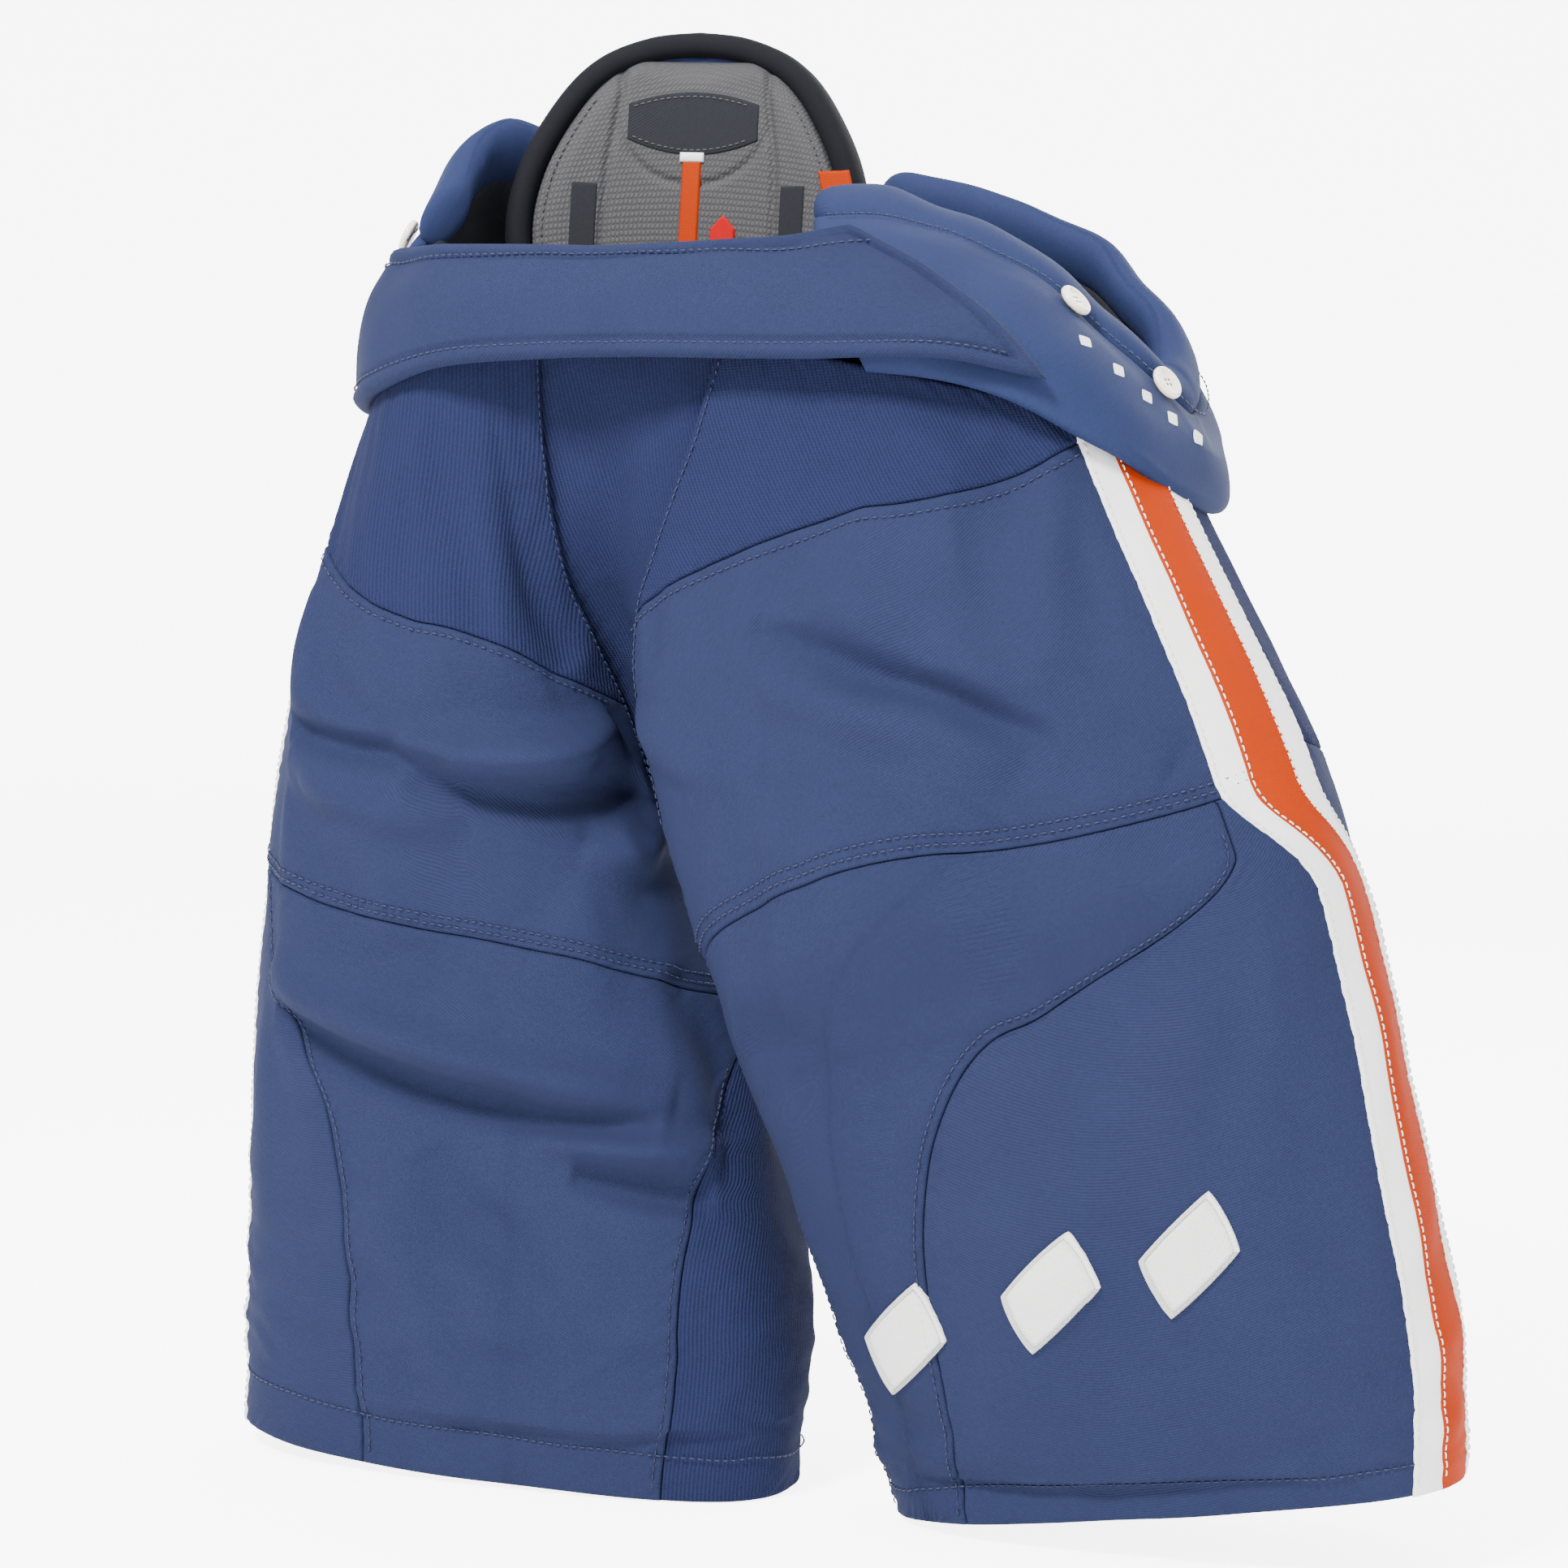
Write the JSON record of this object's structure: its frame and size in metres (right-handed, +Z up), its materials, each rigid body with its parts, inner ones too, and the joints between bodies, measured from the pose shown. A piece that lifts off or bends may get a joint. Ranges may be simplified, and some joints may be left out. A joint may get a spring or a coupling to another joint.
{
  "type": "hockey pants",
  "caption": "Padded hockey pants with splayed leg tubes, wrapped front waist, hip wings, raised spine pad and a striped side seam.",
  "frame": {"origin": "bottom centre of the whole object: the floor under it, midway across and from front to back", "axes": "+X to the wearer's left, -Y to the wearer's front, +Z up"},
  "size_m": [0.6489, 0.2302, 0.7517],
  "materials": {
    "shell_nylon": "woven diagonal twill nylon, matt with a faint sheen",
    "stretch_knit": "ribbed stretch knit, matt",
    "stripe_white": "white twill tape with stitched edges",
    "stripe_orange": "orange twill tape",
    "tag_red": "red woven tag",
    "foam": "closed-cell padding foam, hidden",
    "guard_plastic": "moulded polyethylene",
    "mesh_liner": "black mesh lining",
    "embossed_liner": "grey liner with small embossed ovals",
    "pad_shell": "dark brushed lining cloth over foam",
    "black_trim": "black binding tape",
    "button_pearl": "pearl plastic"
  },
  "bodies": {
    "waist": {"fly_panel": "stretch_knit", "tailbone_pad": "foam", "seat_gusset": "shell_nylon", "waist_wrap": "shell_nylon", "wrap_foam": "foam", "hip_cover_left": "shell_nylon", "hip_pad_left": "foam", "hip_rim_left": "shell_nylon", "hip_cover_right": "shell_nylon", "hip_pad_right": "foam", "hip_rim_right": "shell_nylon", "suspender_button_front_left": "button_pearl", "suspender_button_side_left": "button_pearl", "suspender_button_back_left": "button_pearl", "suspender_button_front_right": "button_pearl", "suspender_button_side_right": "button_pearl", "suspender_button_back_right": "button_pearl", "belt_webbing": "black_trim", "belt_buckle": "guard_plastic"},
    "leg_left": {"yoke_panel_left": "stretch_knit", "thigh_panel_left": "shell_nylon", "lower_front_panel_left": "shell_nylon", "lower_side_panel_left": "shell_nylon", "inner_gusset_left": "stretch_knit", "seat_panel_left": "stretch_knit", "rear_thigh_panel_left": "shell_nylon", "side_stripe_left": "stripe_white", "stripe_center_left": "stripe_orange", "hem_band_left": "shell_nylon", "thigh_guard_plate_left": "guard_plastic", "thigh_guard_foam_left": "foam", "side_guard_foam_left": "foam", "inner_guard_foam_left": "foam", "rear_guard_foam_left": "foam", "leg_liner_left": "mesh_liner"},
    "leg_right": {"yoke_panel_right": "stretch_knit", "thigh_panel_right": "shell_nylon", "lower_front_panel_right": "shell_nylon", "lower_side_panel_right": "shell_nylon", "inner_gusset_right": "stretch_knit", "seat_panel_right": "stretch_knit", "rear_thigh_panel_right": "shell_nylon", "side_stripe_right": "stripe_white", "stripe_center_right": "stripe_orange", "hem_band_right": "shell_nylon", "thigh_guard_plate_right": "guard_plastic", "thigh_guard_foam_right": "foam", "side_guard_foam_right": "foam", "inner_guard_foam_right": "foam", "rear_guard_foam_right": "foam", "leg_liner_right": "mesh_liner"},
    "spine_pad": {"spine_pad_core": "pad_shell", "spine_pad_binding": "black_trim", "spine_pad_liner": "embossed_liner", "spine_top_patch": "black_trim", "spine_inset_left": "black_trim", "spine_inset_right": "black_trim", "spine_strip": "stripe_orange", "spine_red_tag": "tag_red", "spine_pull_tab": "stripe_orange"}
  },
  "joints": [
    {"name": "left_leg_flex", "type": "hinge", "parent": "waist", "child": "leg_left", "pos_m": [0.0412, 0.0023, 0.5], "axis": [-0.9701, -0.2425, 0], "range_deg": [0, 35], "deforming": ["yoke_panel_left", "seat_panel_left", "fly_panel", "side_stripe_left", "stripe_center_left"]},
    {"name": "right_leg_flex", "type": "hinge", "parent": "waist", "child": "leg_right", "pos_m": [-0.2038, 0.0023, 0.5], "axis": [-0.9701, 0.2425, 0], "range_deg": [0, 35], "deforming": ["yoke_panel_right", "seat_panel_right", "fly_panel", "side_stripe_right", "stripe_center_right"]},
    {"name": "spine_pad_tilt", "type": "hinge", "parent": "waist", "child": "spine_pad", "pos_m": [-0.1288, 0.0583, 0.56], "axis": [0.9703, 0.2419, 0], "range_deg": [-4, 14]}
  ]
}
